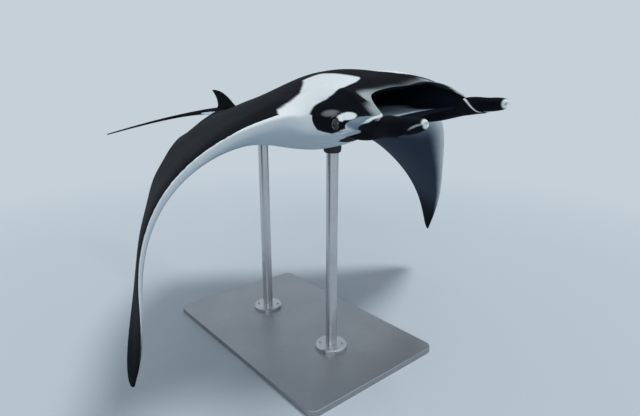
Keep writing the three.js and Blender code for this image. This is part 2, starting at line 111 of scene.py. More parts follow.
class Curve:
    """Smooth curve through rows of x and values; the end values hold beyond the ends."""

    def __init__(self, *rows):
        self.x = [row[0] for row in rows]
        self.values = [row[1:] for row in rows]
        self.slopes = []
        last = len(rows) - 1
        for i in range(len(rows)):
            a, b = rows[max(i - 1, 0)], rows[min(i + 1, last)]
            self.slopes.append([(q - p) / (b[0] - a[0]) for p, q in zip(a[1:], b[1:])])

    def all(self, x):
        x = clamp(x, self.x[0], self.x[-1])
        i = clamp(bisect.bisect_right(self.x, x) - 1, 0, len(self.x) - 2)
        d = self.x[i + 1] - self.x[i]
        t = (x - self.x[i]) / d
        ahead = (3 - 2 * t) * t * t
        rise = t * (1 - t) ** 2 * d
        fall = t * t * (t - 1) * d
        return [
            p * (1 - ahead) + q * ahead + m * rise + n * fall
            for p, q, m, n in zip(self.values[i], self.values[i + 1], self.slopes[i], self.slopes[i + 1])
        ]

    def __call__(self, x):
        return self.all(x)[0]


# Rear outline, f against l; half thicknesses of the wing against l and of the trunk against f.
rear_edge = Curve(
    (0, -0.45), (0.03, -0.443), (0.052, -0.458), (0.07, -0.46), (0.09, -0.447), (0.12, -0.41),
)
wing_up = Curve(
    (0, 0.017), (0.1, 0.018), (0.15, 0.0148), (0.2, 0.0108), (0.25, 0.0076), (0.3, 0.0055),
    (0.4, 0.0036), (0.5, 0.002),
)
wing_down = Curve(
    (0, 0.02), (0.1, 0.025), (0.15, 0.0225), (0.2, 0.0185), (0.25, 0.0155), (0.3, 0.011),
    (0.35, 0.006), (0.4, 0.0038), (0.5, 0.002),
)
back = Curve(
    (-0.46, 0.003), (-0.42, 0.004), (-0.36, 0.008), (-0.28, 0.018), (-0.2, 0.034),
    (-0.16, 0.0365), (-0.12, 0.0355), (-0.07, 0.031), (-0.03, 0.0205),
)
belly = Curve(
    (-0.46, 0.002), (-0.42, 0.009), (-0.36, 0.026), (-0.28, 0.044), (-0.2, 0.05),
    (-0.165, 0.0468), (-0.13, 0.0385), (-0.095, 0.0325), (-0.06, 0.026), (-0.03, 0.0205),
)

# Rounding of the leading edge against v: its reach and its power.
edge_over = Curve(
    (0, 0.03, 1), (0.15, 0.05, 0.75), (0.178, 0.065, 0.68), (0.215, 0.06, 0.7), (0.26, 0.04, 0.5),
    (0.34, 0.03, 0.5), (0.5, 0.02, 0.5), (1, 0.008, 0.5),
)
edge_under = Curve(
    (0, 0.03, 1), (0.15, 0.03, 1), (0.178, 0.018, 0.6), (0.21, 0.013, 0.5), (0.26, 0.013, 0.5),
    (0.34, 0.03, 0.5), (0.5, 0.02, 0.5), (1, 0.008, 0.5),
)

# Hollow behind the cheeks against v: its depth, how it sets in and where it fades.
cheek = Curve(
    (0, 0, 2, 0.1), (0.157, 0.014, 1.5, 0.105), (0.184, 0.029, 1.6, 0.1),
    (0.21, 0.0365, 1.1, 0.075), (0.25, 0.036, 1, 0.06), (0.34, 0, 1, 0.06),
)

# Leading outline in l, f and h: the lips to the corner of the mouth, then the head's side.
MOUTH_CORNER = (0.074, 0.002, -0.0073)
upper_lip = Curve(
    (0, 0, -0.03, 0.0183), (0.35, 0.026, -0.033, 0.019), (0.7, 0.054, -0.031, 0.0161),
    (0.88, 0.0685, -0.0175, 0.0092), (1, *MOUTH_CORNER),
)
lower_lip = Curve(
    (0, 0, -0.02, -0.0172), (0.35, 0.026, -0.021, -0.0175), (0.65, 0.05, -0.017, -0.0178),
    (0.85, 0.0655, -0.009, -0.0172), (0.95, 0.072, -0.002, -0.0135), (1, *MOUTH_CORNER),
)
head_side = Curve(
    (0, *MOUTH_CORNER), (0.14, 0.086, -0.002, -0.011), (0.36, 0.0945, -0.028, -0.013),
    (0.52, 0.096, -0.052, -0.0125), (0.76, 0.096, -0.08, -0.0085),
    (0.88, 0.102, -0.095, -0.0042), (1, FAIR_L, -0.1015, 0),
)


class Wing:
    """How one wing is carried: bend against span, twist and droop of the rear edge against l."""

    def __init__(self, side, sweep, bend, twist, droop):
        self.side = side
        self.sweep = sweep
        self.twist = Curve(*twist)
        self.droop = Curve(*droop)
        bending = Curve(*bend)
        step = HALF_SPAN / ARC_STEPS
        self.arc = [(0.0, 0.0, 0.0)]
        for i in range(1, ARC_STEPS + 1):
            l, h, before = self.arc[-1]
            angle = bending(clamp((i * step - BEND_START) / (HALF_SPAN - BEND_START)))
            middle = (angle + before) / 2
            self.arc.append((l + math.cos(middle) * step, h - math.sin(middle) * step, angle))

    def bent(self, l):
        at = clamp(l / HALF_SPAN) * ARC_STEPS
        i = min(int(at), ARC_STEPS - 1)
        return [lerp(p, q, at - i) for p, q in zip(self.arc[i], self.arc[i + 1])]


right_wing = Wing(
    -1,
    -0.0455,
    bend=((0, 0), (0.12, 0.095), (0.35, 0.4415), (0.7, 1.37), (1, 1.24)),
    twist=((0.08, 0), (0.14, -0.1), (0.2, -0.21), (0.3, -0.345), (0.4, -0.27), (0.5, 0.12)),
    droop=((0.03, 0), (0.08, 0.026), (0.12, 0.013), (0.16, 0.006), (0.25, 0), (0.5, 0)),
)
left_wing = Wing(
    1,
    0.046,
    bend=((0, 0), (0.12, 0.2636), (0.35, 0.8452), (0.7, 0.912), (1, 1.3489)),
    twist=((0.08, 0), (0.2, 0.061), (0.3, 0.267), (0.4, 0.394), (0.5, 0.48)),
    droop=((0.03, 0), (0.5, 0)),
)

forward = Vector((0, -math.cos(NOSE_UP), math.sin(NOSE_UP)))
leftward = Vector((
    math.cos(BANK),
    math.sin(BANK) * math.sin(NOSE_UP),
    math.sin(BANK) * math.cos(NOSE_UP),
))
upward = forward.cross(leftward)
origin = Vector((0, -STAND_CENTRE * DISC_WIDTH, BODY_HEIGHT))


def world(f, l, h):
    """Place in the room of a point given in the animal's own axes."""
    return origin + DISC_WIDTH * (f * forward + l * leftward + h * upward)


# The disc spread flat ----------
def span(l):
    """Share of the way out along a wing, 0 at its root."""
    return clamp((l - ROOT_L) / (HALF_SPAN - ROOT_L))


def lead_f(l, sweep=0.0):
    u = span(l)
    return -ROOT_F - (SWEEP + sweep) * u**SWEEP_POWER - LEAD_STEP * (1 - smooth(u, 0, 0.25))


def trail_f(l, sweep=0.0):
    u = span(l)
    reach = REAR_F - ROOT_F - SWEEP - sweep - TIP_CHORD
    wing = -REAR_F + reach * u**TRAIL_POWER - TRAIL_FULLNESS * u**8 * math.sqrt(1 - u)
    return lerp(rear_edge(l), wing, smooth(l, *REAR_TURN))


def lead(v, up):
    """Point of the leading outline, v from the middle of the mouth (0) to the wing tip (1)."""
    if v <= V_MOUTH:
        return (upper_lip if up > 0 else lower_lip).all(v / V_MOUTH)
    if v <= V_ROOT:
        return head_side.all((v - V_MOUTH) / (V_ROOT - V_MOUTH))
    l = lerp(FAIR_L, HALF_SPAN, (v - V_ROOT) / (1 - V_ROOT))
    return [l, lead_f(l), 0]


def trail(v):
    """Point of the trailing outline."""
    l = FAIR_L * v / V_ROOT if v < V_ROOT else lerp(FAIR_L, HALF_SPAN, (v - V_ROOT) / (1 - V_ROOT))
    return [l, trail_f(l)]


def section(w):
    """Thickness of a wing along a chord, 1 at its thickest."""
    return (0.2969 * math.sqrt(w) - 0.126 * w - 0.3516 * w**2 + 0.2843 * w**3 - 0.1015 * w**4) / 0.2


def disc_point(v, w, up):
    """Skin of the flat disc: w from leading (0) to trailing edge (1), up is 1 or -1."""
    l0, f0, h0 = lead(v, up)
    l1, f1 = trail(v)
    inward, onset, fade = cheek.all(v)
    l = lerp(l0, l1, w) - inward * (1 - math.exp(-((w / fade) ** onset))) * (1 - w) ** 2
    f = lerp(f0, f1, w)
    head = 1 - smooth(-f, *HEAD_END)
    spread = (1 + (l / (BACK_SPREAD if up > 0 else BELLY_SPREAD)) ** 2) ** -1.5
    across = lerp(spread, max(1 - (l / HEAD_HALF) ** 2, 0) ** (HEAD_TOP if up > 0 else HEAD_UNDER), head)
    rise = (back if up > 0 else belly)(f) * across
    reach, slope = (edge_over if up > 0 else edge_under).all(v)
    rounding = clamp(reach / math.hypot(l0 - l1, f0 - f1), 0, 0.5)
    edge = (1 - (1 - clamp(w / rounding)) ** 2) ** slope
    wing = (wing_up if up > 0 else wing_down)(l) * section(w) * (1 - head)
    depth = wing + rise * edge * (1 - smooth(w, REAR_THINNING, 1)) + EDGE_HALF * smooth(w, 0, 0.2)
    return f, l, h0 * (1 - edge) + up * depth * (1 - smooth(w, 0.99, 1))


def carried(wing, f, l, h):
    """Carries a point of the flat disc to where the swimming animal has it."""
    out, down, angle = wing.bent(l)
    swept = f - wing.sweep * span(l) ** SWEEP_POWER
    rear = trail_f(l, wing.sweep)
    pivot = lerp(lead_f(l, wing.sweep), rear, PIVOT)
    behind = pivot - swept
    twist = wing.twist(l)
    droop = wing.droop(l) * clamp(behind / max(pivot - rear, 0.001), 0, 1.2) ** 2
    lift = h * math.cos(twist) + behind * math.sin(twist) - droop
    return (
        pivot - behind * math.cos(twist),
        wing.side * (out + lift * math.sin(angle)),
        down + lift * math.cos(angle),
    )


# Finishes ----------
def operator(kind, swapped=False):
    """Method that adds one kind of Math node."""
    def join(self, other):
        terms = (other, self) if swapped else (self, other)
        return self.finish.add("ShaderNodeMath", {"operation": kind}, dict(enumerate(terms)))

    return join


class Value:
    """One socket of a finish; arithmetic on it adds Math nodes."""

    __add__ = __radd__ = operator("ADD")
    __sub__ = operator("SUBTRACT")
    __rsub__ = operator("SUBTRACT", swapped=True)
    __mul__ = __rmul__ = operator("MULTIPLY")
    __truediv__ = operator("DIVIDE")
    __pow__ = operator("POWER")
    most = operator("MAXIMUM")

    def __init__(self, finish, socket):
        self.finish = finish
        self.socket = socket

    def __abs__(self):
        return self.finish.add("ShaderNodeMath", {"operation": "ABSOLUTE"}, {0: self})

    def rise(self, low, high):
        """Smooth step from 0 at low to 1 at high."""
        values = {"Value": self, "From Min": low, "From Max": high}
        return self.finish.add("ShaderNodeMapRange", {"interpolation_type": "SMOOTHSTEP"}, values)

    def fall(self, low, high):
        return 1 - self.rise(low, high)

    def along(self, *points):
        """Straight runs through points of (this value, height)."""
        total = points[0][1]
        for (x0, y0), (x1, y1) in zip(points, points[1:]):
            values = {"Value": self, "From Min": x0, "From Max": x1, "To Max": y1 - y0}
            total = total + self.finish.add("ShaderNodeMapRange", {"interpolation_type": "LINEAR"}, values)
        return total


class Finish:
    """A material built round one Principled shader."""

    def __init__(self, name, **fixed):
        self.material = bpy.data.materials.new(name)
        self.material.use_nodes = True
        self.tree = self.material.node_tree
        self.shader = self.tree.nodes["Principled BSDF"]
        for socket, value in fixed.items():
            self.shader.inputs[socket.replace("_", " ")].default_value = value

    def add(self, kind, settings=None, values=None, output=0):
        """Adds a node: its settings first, then the values or links of its sockets."""
        node = self.tree.nodes.new(kind)
        for setting, value in (settings or {}).items():
            setattr(node, setting, value)
        for socket, value in (values or {}).items():
            self.join(value, node.inputs[socket])
        return Value(self, node.outputs[output])

    def join(self, value, socket):
        if isinstance(value, Value):
            self.tree.links.new(value.socket, socket)
        else:
            socket.default_value = value

    def surface(self, socket, value):
        self.join(value, self.shader.inputs[socket])

    def three(self, vector):
        parts = self.add("ShaderNodeSeparateXYZ", None, {0: vector})
        return [Value(self, output) for output in parts.socket.node.outputs]

    def kept(self, name):
        """The three numbers a mesh keeps at its vertices under a name."""
        return self.three(self.add("ShaderNodeAttribute", {"attribute_name": name}, None, "Vector"))

    def place(self, stretch=(1, 1, 1)):
        spot = self.add("ShaderNodeTexCoord", None, None, "Object")
        return self.add("ShaderNodeVectorMath", {"operation": "MULTIPLY"}, {0: spot, 1: stretch})

    def noise(self, scale, detail=2, stretch=(1, 1, 1), distortion=0):
        values = {"Vector": self.place(stretch), "Scale": scale, "Detail": detail, "Distortion": distortion}
        return self.add("ShaderNodeTexNoise", None, values, 0)

    def blend(self, share, first, second):
        values = {0: share, 6: first, 7: second}
        return self.add("ShaderNodeMix", {"data_type": "RGBA"}, values, 2)

    def bump(self, height, distance, strength=1.0):
        values = {"Height": height, "Distance": distance, "Strength": strength}
        self.surface("Normal", self.add("ShaderNodeBump", None, values, 0))


BLACK = (0.006, 0.008, 0.011, 1)
BLACK_SHEEN = (0.012, 0.015, 0.019, 1)
LIP_GREY = (0.4, 0.48, 0.5, 1)
# Painted shade: the white cheek ahead of the eye, greyed as if in shadow.
FLANK_SHADE = (0.22, 0.3, 0.37, 1)
WHITE = (0.8, 0.86, 0.88, 1)
# Painted shade: the white underside toned blue-grey, as if shaded from the light above.
BELLY_SHADE = (0.5, 0.6, 0.68, 1)
SLATE = (0.035, 0.05, 0.08, 1)
# Painted shade: the dark inside of the gill slits.
SLIT_SHADE = (0.05, 0.06, 0.075, 1)
MOUTH_LINING = (0.006, 0.009, 0.016, 1)
MOUTH_FLOOR = (0.42, 0.55, 0.65, 1)
IRIS_DARK = (0.012, 0.01, 0.009, 1)
IRIS_BROWN = (0.035, 0.027, 0.02, 1)
PUPIL = (0.002, 0.002, 0.003, 1)
EYE_WHITE = (0.012, 0.013, 0.015, 1)

# Where the black ends: h against f on the head's side, f against h under it, margin against l.
SIDE_LINE = (
    (-0.084, -0.019), (-0.08, -0.021), (-0.07, -0.0235), (-0.06, -0.0218), (-0.05, -0.0193),
    (-0.035, -0.0138), (-0.027, -0.0085), (-0.022, -0.0055), (0, -0.004),
)
CHIN_LINE = (
    (-0.0423, -0.1105), (-0.0353, -0.0896), (-0.0217, -0.0413), (-0.0148, -0.0178),
    (-0.0116, -0.0067), (-0.008, -0.0027), (-0.0058, -0.0001), (-0.003, 0.004), (0, 0.012),
)
WING_MARGIN = ((0.11, 0.0008), (0.13, 0.003), (0.17, 0.002), (0.2, 0))

# Front and rear of the white shoulders, f against l.
SHOULDER_FRONT = (
    (0.0146, -0.087), (0.027, -0.0735), (0.039, -0.0685), (0.0586, -0.0684), (0.071, -0.0722),
    (0.079, -0.076), (0.0857, -0.0828), (0.09, -0.0864), (0.12, -0.091), (0.13, -0.098),
)
SHOULDER_REAR = (
    (0.02, -0.15), (0.03, -0.161), (0.04, -0.168), (0.0586, -0.147), (0.0762, -0.1285),
    (0.0927, -0.1225), (0.12, -0.119), (0.13, -0.104),
)

# Pale upper lip, against the way round from the middle of the mouth: its strength and width.
LIP_STRENGTH = ((0, 0.3), (0.06, 0.4), (0.1, 0.7), (0.13, 1), (0.15, 1), (0.17, 0.8), (0.184, 0))
LIP_WIDTH = ((0, 0.012), (0.08, 0.015), (0.13, 0.03))

# Oval marks: middle, then half length and half height.
FLASH = (-0.0375, -0.0042, 0.0125, 0.0047)
FLASH_SLOPE = 0.12
HAZE = (-0.063, -0.0005, 0.012, 0.0045)
FIN_SPOT = (0, -0.397, 0.0062, 0.0155)
PUPIL_SLOT = (0, -0.02, 0.34, 0.2)


def oval(x, y, x0, y0, wide, high):
    """0 in the middle of an oval, 1 on its outline."""
    return ((x - x0) / wide) ** 2 + ((y - y0) / high) ** 2


def skin_finish():
    skin = Finish("manta_skin", Specular_IOR_Level=0.01)
    signed_l, f, h = skin.kept("flat")
    edge, w, share = skin.kept("turn")
    way_round, depth, eye_near = skin.kept("roll")
    l = abs(signed_l)
    broad = skin.noise(5, 3) - 0.5
    fine = skin.noise(38, 3) - 0.5
    ragged = broad * 0.008 + fine * 0.0022

    on_lobe = share.rise(0.00005, 0.0001)
    deep = 0 - w
    in_mouth = deep.rise(0.002, 0.012)
    slit = eye_near.fall(-0.95, -0.25)
    lid = eye_near.rise(0.66, 0.7)

    # Black above and white below, parted along the outline and across the head's side.
    side_line = f.along(*SIDE_LINE)
    head_black = (h + ragged * 0.3 - side_line).rise(-0.0008, 0.0008) * f.rise(-0.0865, -0.0855)
    wing_black = (edge + fine * 0.002).rise(0.0004, 0.0012) * f.fall(-0.0855, -0.0845)
    wing_black = wing_black * (edge + fine * 0.0015 - l.along(*WING_MARGIN)).rise(0, 0.0006)
    black = head_black.most(wing_black)

    # White shoulders, either side of a black stripe down the back.
    front = l.along(*SHOULDER_FRONT) + signed_l.rise(0.01, 0.03) * 0.01
    shoulder = (front - f - ragged * 0.35).rise(0, 0.0035)
    shoulder = shoulder * (f - l.along(*SHOULDER_REAR) + ragged * 0.9).rise(-0.001, 0.006)
    off_stripe = (l + ragged * 0.3 + signed_l.rise(0, 0.01) * 0.007).rise(0.0205, 0.0255)
    black = black * (1 - shoulder * off_stripe * l.fall(0.126, 0.131))

    # Black chin and lobes, with a white arc where each lobe leaves the head.
    chin_line = h.along(*CHIN_LINE)
    chin = (f + ragged * 0.3 - chin_line + signed_l.rise(-0.066, 0.01) * 0.018).rise(-0.001, 0.001)
    arc = (f - chin_line).rise(-0.0062, -0.0052) * l.rise(0.064, 0.07) * h.fall(-0.0035, -0.002)
    arc = arc * h.rise(-0.0135, -0.0115)
    black = (black * (1 - arc)).most(chin)
    black = black.most(on_lobe).most(lid).most(deep.rise(0, 0.001))

    # Pale grey along the upper lip, and pale marks about the eye and at the dorsal fin.
    lip = (edge + ragged * 1.5 - way_round.along(*LIP_WIDTH)).fall(-0.016, 0) * edge.rise(0, 0.0004)
    lip = lip * way_round.along(*LIP_STRENGTH)
    on_side = l.rise(0.07, 0.078)
    flash = oval(f, h + FLASH_SLOPE * (f - FLASH[0]), *FLASH).fall(0.55, 1.15) * on_side
    haze = oval(f + ragged, h, *HAZE).fall(0.1, 1.2) * on_side * 0.22
    top = skin.blend(broad.rise(-0.12, 0.25) * 0.75 + fine * 0.3, BLACK, BLACK_SHEEN)
    top = skin.blend(lip * (1 - in_mouth), top, LIP_GREY)
    top = skin.blend(haze.most(flash) * (1 - on_lobe) * (1 - lid), top, WHITE)
    top = skin.blend(oval(signed_l, f, *FIN_SPOT).fall(0.5, 1.1), top, WHITE)

    # Underside: white along the outline and painted shade, a blue-grey, over the rest and in random
    # patches; greyer painted shade on the cheek; slate to the rear of the wings and on their trailing rims,
    # with painted shade adding to it on the left wing; black at the tips.
    mottle = (broad * 1.2 + skin.noise(16, 4, distortion=0.6) - 0.5).rise(-0.05, 0.4) * 0.3
    # Painted shade: the white cheek ahead of the eye and below the flash is greyed, all but the white arc.
    flank_shade = f.rise(-0.04, -0.03) * h.fall(-0.004, -0.001) * l.rise(0.06, 0.066)
    # Slate toward the rear of the wing undersides is their own colour; the extra slate on the left wing is
    # painted shade.
    slate_and_shade = (w + broad * 0.04 + signed_l.rise(0, 0.1) * 0.1).rise(0.06, 0.2) * l.rise(0.12, 0.22)
    rear_rim = (1 - w).fall(0.012, 0.03) * l.rise(0.12, 0.2)
    tips = (l + broad * 0.02).rise(0.38, 0.47)
    # Painted shade: all the underside except a band along the outline takes the blue-grey, and so do random
    # patches in that band.
    below = skin.blend(edge.fall(-0.02, 0).most(mottle), WHITE, BELLY_SHADE)
    below = skin.blend(flank_shade * (1 - arc), below, FLANK_SHADE)
    # Painted shade in the gill slit grooves.
    below = skin.blend(slit, below, SLIT_SHADE)
    below = skin.blend(slate_and_shade.most(rear_rim), below, SLATE)
    below = skin.blend(tips, below, BLACK)
    colour = skin.blend(black, below, top)

    # Dark lining of the mouth, with a pale patch on its floor.
    floor_patch = (deep + broad * 0.1).rise(0.06, 0.15) * deep.fall(0.8, 0.95)
    floor_patch = floor_patch * depth.fall(-0.05, 0) * (l + ragged).fall(0.035, 0.05)
    colour = skin.blend(in_mouth, colour, skin.blend(floor_patch, MOUTH_LINING, MOUTH_FLOOR))

    # White tips and free edges on the lobes, and a band across the left one.
    colour = skin.blend(share.rise(0.95, 0.985) * on_lobe, colour, WHITE)
    band = abs(share + edge * 0.7 - 0.54).fall(0.012, 0.022) * on_lobe * signed_l.rise(0, 0.01)
    colour = skin.blend(band, colour, WHITE)
    free_edge = edge.fall(0.01, 0.03) * share.rise(0.72, 0.82)
    colour = skin.blend(free_edge * 0.5, colour, WHITE)

    skin.surface("Base Color", colour)
    skin.surface("Roughness", 0.55 + fine * 0.12 + in_mouth * 0.15)
    skin.bump(fine * 0.4 + skin.noise(220, 2) * 0.25, 0.002, 0.35)
    return skin.material


def eye_finish():
    """Brown iris with a dark slot for a pupil, ringed in black; x and y run across the front."""
    eye = Finish("manta_eye", Specular_IOR_Level=0.3, Coat_Weight=0.6, Coat_Roughness=0.05)
    x, y, z = eye.kept("gaze")
    across = (x * x + y * y) ** 0.5
    streaks = eye.noise(90, 3, distortion=1.5) - 0.5
    iris = (across + streaks * 0.03).fall(0.5, 0.54)
    brown = eye.blend(streaks + 0.35, IRIS_DARK, IRIS_BROWN)
    ring = ((across - 0.5) / 0.05) ** 2
    slot = (oval(x, y, *PUPIL_SLOT) + streaks * 0.1).fall(0.9, 1.1)
    colour = eye.blend(iris, EYE_WHITE, brown)
    colour = eye.blend(ring.fall(0, 1), colour, PUPIL)
    colour = eye.blend(slot, colour, PUPIL)
    eye.surface("Base Color", colour)
    eye.surface("Roughness", 0.22 + streaks * 0.05)
    eye.bump(streaks, 0.0006, 0.3)
    return eye.material


# The one skin ----------
def spaced(*stretches):
    """Rising values through stretches of (end, steps), starting from 0."""
    values = [0.0]
    for end, steps in stretches:
        start = values[-1]
        values += [lerp(start, end, (i + 1) / steps) for i in range(steps)]
    return values


HALF_COLUMNS = spaced(
    (0.03, 4), (0.092, 6), (0.148, 7), (V_MOUTH, 2), (0.212, 6), (0.235, 3), (0.272, 8), (0.31, 5),
    (V_ROOT, 3), (0.62, 14), (0.9, 16), (0.97, 6), (1, 5),
)
COLUMNS = [-v for v in reversed(HALF_COLUMNS[1:])] + HALF_COLUMNS
EDGE_ROWS = ((0.003, 2), (0.0165, 3))
UPPER_ROWS = spaced(*EDGE_ROWS, (0.03, 3), (0.06, 4), (0.2, 8), (0.6, 12), (0.9, 9), (1, 6))
LOWER_ROWS = spaced(*EDGE_ROWS, (0.073, 6), (0.102, 3), (0.148, 4))

# Gill slits: grooves along rows, and the runs of l over which they set in and fade.
SLIT_ROWS = [0.17, 0.205, 0.24, 0.275, 0.31]
SLIT_HALF = 0.0028
SLIT_DEEP = 0.0024
SLIT_INNER_END = (0.022, 0.03)
SLIT_OUTER_END = (0.05, 0.058)
for row in SLIT_ROWS:
    LOWER_ROWS += [row + step * SLIT_HALF for step in (-2.4, -1, 0, 1, 2.4)]
LOWER_ROWS += [lerp(0.335, 0.9, i / 11) for i in range(12)]
LOWER_ROWS += [lerp(0.9, 1, (i + 1) / 8) for i in range(8)]

# Mouth: shares of its height and width lost at the throat, of its width and depth at the corners.
MOUTH_DEPTH = 0.1
LIP_THICK = 0.0035
THROAT_LOWER = 0.5
THROAT_NARROWER = 0.3
CORNER_NARROWER = 0.12
CORNER_SHALLOWER = 0.3
MOUTH_ROWS = [0, 0.006, 0.014, 0.025, 0.045, 0.08, 0.13, 0.2, 0.3, 0.4, 0.46, 0.5]
MOUTH_ROWS += [1 - s for s in reversed(MOUTH_ROWS[:-1])]

# Furthest edge distance the markings need; then the raised left shoulder.
SIDE_REACH = 0.05
SHRUG = 0.0045
SHRUG_OVAL = (0.042, -0.075, 0.026, 0.035)


def sheet(bm, columns, rows, at):
    """Grid whose vertices at(vertex, column, row) puts in place."""
    last_column, last_row = len(columns) - 1, len(rows) - 1
    made = bmesh.ops.create_grid(bm, x_segments=last_column, y_segments=last_row, size=1)
    for vert in made["verts"]:
        i = round((vert.co.x + 1) / 2 * last_column)
        j = round((vert.co.y + 1) / 2 * last_row)
        at(vert, columns[i], rows[j])


def mouth_point(v, s):
    """Lining of the mouth: s from the upper lip (0) past the throat (0.5) to the lower lip (1)."""
    share = v / V_MOUTH
    deep = 1 - abs(2 * s - 1)
    lu, fu, hu = upper_lip.all(share)
    ll, fl, hl = lower_lip.all(share)
    half = (hu - hl) / 2
    inset = min(LIP_THICK, 0.4 * half) * smooth(deep, 0, 0.04)
    narrow = (half - inset) * (1 - THROAT_LOWER * smooth(deep, 0.3, 1))
    side = 0 if s == 0.5 else math.copysign(1, 0.5 - s)
    front = lerp(fu, fl, smooth(s, 0.4, 0.6))
    wide = lerp(lu, ll, smooth(s, 0.4, 0.6))
    wide *= 1 - CORNER_NARROWER * share**2 * smooth(deep, 0, 0.25) - THROAT_NARROWER * deep**2
    depth = MOUTH_DEPTH * deep * (1 - CORNER_SHALLOWER * share**2)
    return front - depth, wide, (hu + hl) / 2 + side * narrow


def disc_map(a, b):
    """Point of the unit disc for a point of the square from -1 to 1, evenly round the rim."""
    if abs(a) >= abs(b):
        rho, turn = a, math.pi / 4 * (b / a if a else 0)
    else:
        rho, turn = b, math.pi / 2 - math.pi / 4 * (a / b)
    return rho * math.cos(turn), rho * math.sin(turn)


def half_turn(angle):
    """The same angle between minus and plus half a turn."""
    return (angle + math.pi) % math.tau - math.pi


# Reach of a round patch in radii, its core's share of the disc, and the highest row eased.
PATCH_BALL = 1.15
PATCH_CORE = 0.6
EASE_BELOW = -0.0016


class Skin:
    """The flesh as one mesh: the disc and mouth as grids, and all else grown out of their cells.

    Each vertex keeps three sets of numbers for the markings. flat: l, f and h on the flat disc.
    turn: distance from the outline, or round from a lobe's free edge; share of the chord, or in
    the mouth its depth below zero; share of a lobe. roll: the way round from the middle of the
    mouth; depth in it, above zero on the roof; nearness of an eye, below zero at a gill slit.
    """

    def __init__(self):
        self.bm = bmesh.new()
        layers = self.bm.verts.layers
        kept = ("flat", "turn", "roll", "home", "facing", "disc")
        for name in ("v", "u"):
            layers.float.new(name)
        for name in kept:
            layers.float_vector.new(name)
        self.v, self.u = layers.float["v"], layers.float["u"]
        self.flat, self.turn, self.roll, self.home, self.facing, self.disc = (
            layers.float_vector[name] for name in kept
        )
        sheet(self.bm, COLUMNS, UPPER_ROWS, lambda vert, v, w: self.on_disc(vert, v, w, 1))
        sheet(self.bm, COLUMNS, LOWER_ROWS, lambda vert, v, w: self.on_disc(vert, v, w, -1))
        mouth_columns = [v for v in COLUMNS if abs(v) <= V_MOUTH + 1e-6]
        bmesh.ops.remove_doubles(self.bm, verts=self.bm.verts[:], dist=1e-4)
        sheet(self.bm, mouth_columns, MOUTH_ROWS, self.in_mouth)
        bmesh.ops.remove_doubles(self.bm, verts=self.bm.verts[:], dist=1e-4)
        bmesh.ops.recalc_face_normals(self.bm, faces=self.bm.faces[:])
        self.bm.normal_update()
        self.surface = BVHTree.FromBMesh(self.bm)

    def on_disc(self, vert, v, w, up):
        f, l, h = disc_point(abs(v), w, up)
        chord = lead(abs(v), up)[1] - trail(abs(v))[1]
        slit = 0
        if up > 0 and v > 0:
            h += SHRUG * math.exp(-oval(l, f, *SHRUG_OVAL))
        if up < 0:
            nearest = min(abs(w - row) for row in SLIT_ROWS)
            slit = math.exp(-((nearest / SLIT_HALF) ** 2))
            slit *= smooth(l, *SLIT_INNER_END) * (1 - smooth(l, *SLIT_OUTER_END))
        self.put(vert, v, up * w, f, l, h, SLIT_DEEP * slit)
        vert[self.turn] = up * min(w * chord, SIDE_REACH, 4 * (1 - w) * chord), w, 0
        vert[self.roll] = abs(v), 0, -slit

    def in_mouth(self, vert, v, s):
        f, l, h = mouth_point(abs(v), s)
        deep = 1 - abs(2 * s - 1)
        self.put(vert, v, 2, f, l, h)
        vert[self.turn] = 0, -deep, 0
        vert[self.roll] = abs(v), deep if s < 0.5 else -deep, 0

    def put(self, vert, v, u, f, l, h, lift=0):
        """Puts a vertex where its wing carries it, lifted clear of the place it is marked by."""
        vert.co = world(*carried(left_wing if v >= 0 else right_wing, f, l, h + lift))
        vert[self.v], vert[self.u] = v, u
        vert[self.flat] = math.copysign(l, v), f, h

    def lay(self, vert, x, y):
        """Gives a vertex its place in the unit disc that a patch is grown from."""
        vert[self.disc] = x, y, math.hypot(x, y)
        vert[self.home] = vert.co
        vert[self.facing] = vert.normal

    def round_patch(self, middle, fore, over, radius):
        """Faces round a place on the skin, with their corners laid down in the unit disc."""
        def at(vert):
            offset = vert.co - middle
            return offset.dot(fore) / radius, offset.dot(over) / radius

        def inside(vert):
            return (vert.co - middle).length < PATCH_BALL * radius and math.hypot(*at(vert)) < 1

        seed = min(self.bm.faces, key=lambda face: (face.calc_center_median() - middle).length)
        chosen, edge_on = {seed}, [seed]
        while edge_on:
            beside = {face for edge in edge_on.pop().edges for face in edge.link_faces} - chosen
            for face in beside:
                if all(inside(vert) for vert in face.verts):
                    chosen.add(face)
                    edge_on.append(face)
        for vert in {vert for face in chosen for vert in face.verts}:
            self.lay(vert, *(PATCH_CORE * part for part in at(vert)))

        # The rim goes evenly round the unit circle, turned to lie nearest its own angles.
        rim = self.rim(chosen)
        angles = [math.atan2(*reversed(at(vert))) for vert in rim]
        turning = sum(half_turn(b - a) for a, b in zip(angles, angles[1:]))
        even = [math.copysign(math.tau, turning) * k / len(rim) for k in range(len(rim))]
        offsets = [half_turn(a - b) for a, b in zip(angles, even)]
        turned = math.atan2(sum(map(math.sin, offsets)), sum(map(math.cos, offsets)))
        for vert, angle in zip(rim, even):
            vert[self.disc] = math.cos(angle + turned), math.sin(angle + turned), 1
        return list(chosen)

    def rim(self, faces):
        """Corners round the outside of a patch of faces, in order."""
        nearby = {}
        for edge in {edge for face in faces for edge in face.edges}:
            if sum(face in faces for face in edge.link_faces) == 1:
                for vert in edge.verts:
                    nearby.setdefault(vert, []).append(edge.other_vert(vert))
        ring = [next(iter(nearby))]
        while len(ring) < len(nearby):
            ring.append(next(vert for vert in nearby[ring[-1]] if vert not in ring[-2:]))
        return ring

